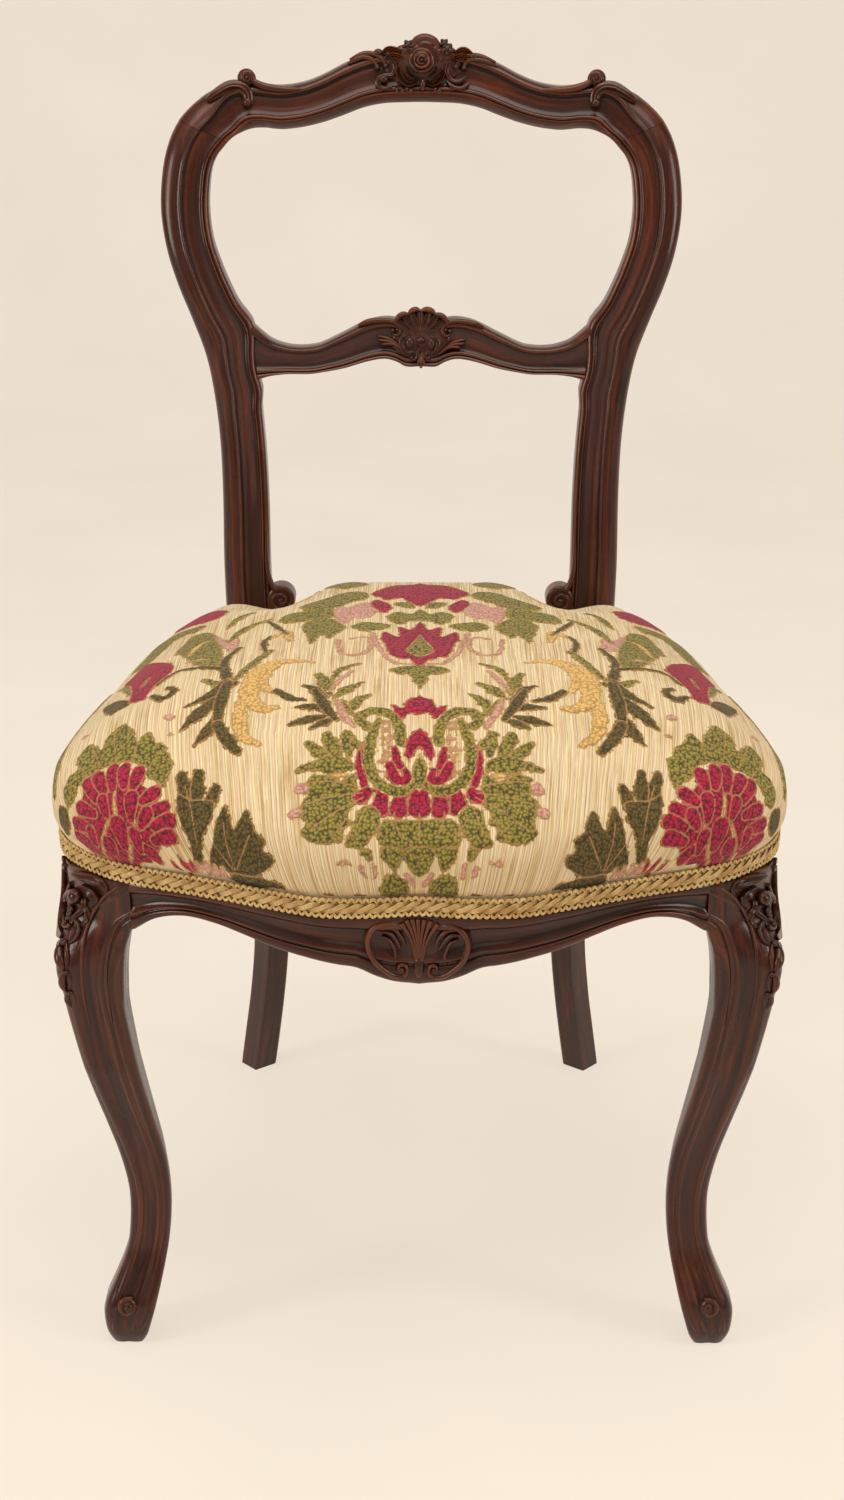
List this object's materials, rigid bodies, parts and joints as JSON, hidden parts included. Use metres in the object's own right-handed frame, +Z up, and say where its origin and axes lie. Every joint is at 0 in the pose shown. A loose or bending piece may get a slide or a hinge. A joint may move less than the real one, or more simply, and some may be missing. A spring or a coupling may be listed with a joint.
{
  "type": "balloon back dining chair",
  "caption": "Side chair with an open balloon-shaped back, cabriole front legs, raked rear legs and a sprung, domed seat stuffed over its rails and edged with gimp.",
  "frame": {"origin": "on the floor, under the middle of the chair's outer box", "axes": "+Z up; the front of the seat faces -Y; +X to the right when the chair is seen from its front"},
  "size_m": [0.515, 0.5986, 0.896],
  "materials": {
    "walnut": "dark French polish",
    "beech": "unpolished",
    "screw_iron": "dull",
    "spring_steel": "dull",
    "jute": "plain weave",
    "hair": "curled hair",
    "brocade": "striped ground with cut pile flowers and leaves",
    "braid": "scalloped gimp"
  },
  "bodies": {
    "root": {"rear_post_right": "walnut", "rear_post_left": "walnut", "front_leg_right": "walnut", "front_leg_left": "walnut", "side_rail_right": "walnut", "side_rail_left": "walnut", "crest_dowel_1_right": "beech", "crest_dowel_1_left": "beech", "crest_dowel_2_right": "beech", "crest_dowel_2_left": "beech", "front_rail_dowel_1_right": "beech", "front_rail_dowel_1_left": "beech", "front_rail_dowel_2_right": "beech", "front_rail_dowel_2_left": "beech", "corner_block_front_right": "beech", "corner_block_front_left": "beech", "corner_block_rear_right": "beech", "corner_block_rear_left": "beech", "block_screw_front_1_right": "screw_iron", "block_screw_front_1_left": "screw_iron", "block_screw_front_2_right": "screw_iron", "block_screw_front_2_left": "screw_iron", "block_screw_rear_1_right": "screw_iron", "block_screw_rear_1_left": "screw_iron", "block_screw_rear_2_right": "screw_iron", "block_screw_rear_2_left": "screw_iron", "crest_rail": "walnut", "middle_rail": "walnut", "front_rail": "walnut", "back_rail": "walnut", "webbing_long_1": "jute", "webbing_long_2": "jute", "webbing_long_3": "jute", "webbing_cross_1": "jute", "webbing_cross_2": "jute", "webbing_cross_3": "jute", "seat_spring_1": "spring_steel", "seat_spring_2": "spring_steel", "seat_spring_3": "spring_steel", "seat_spring_4": "spring_steel", "seat_spring_5": "spring_steel", "hessian_sheet": "jute", "hair_stuffing": "hair", "seat_cover": "brocade", "gimp_front": "braid", "gimp_rear": "braid"}
  },
  "joints": []
}
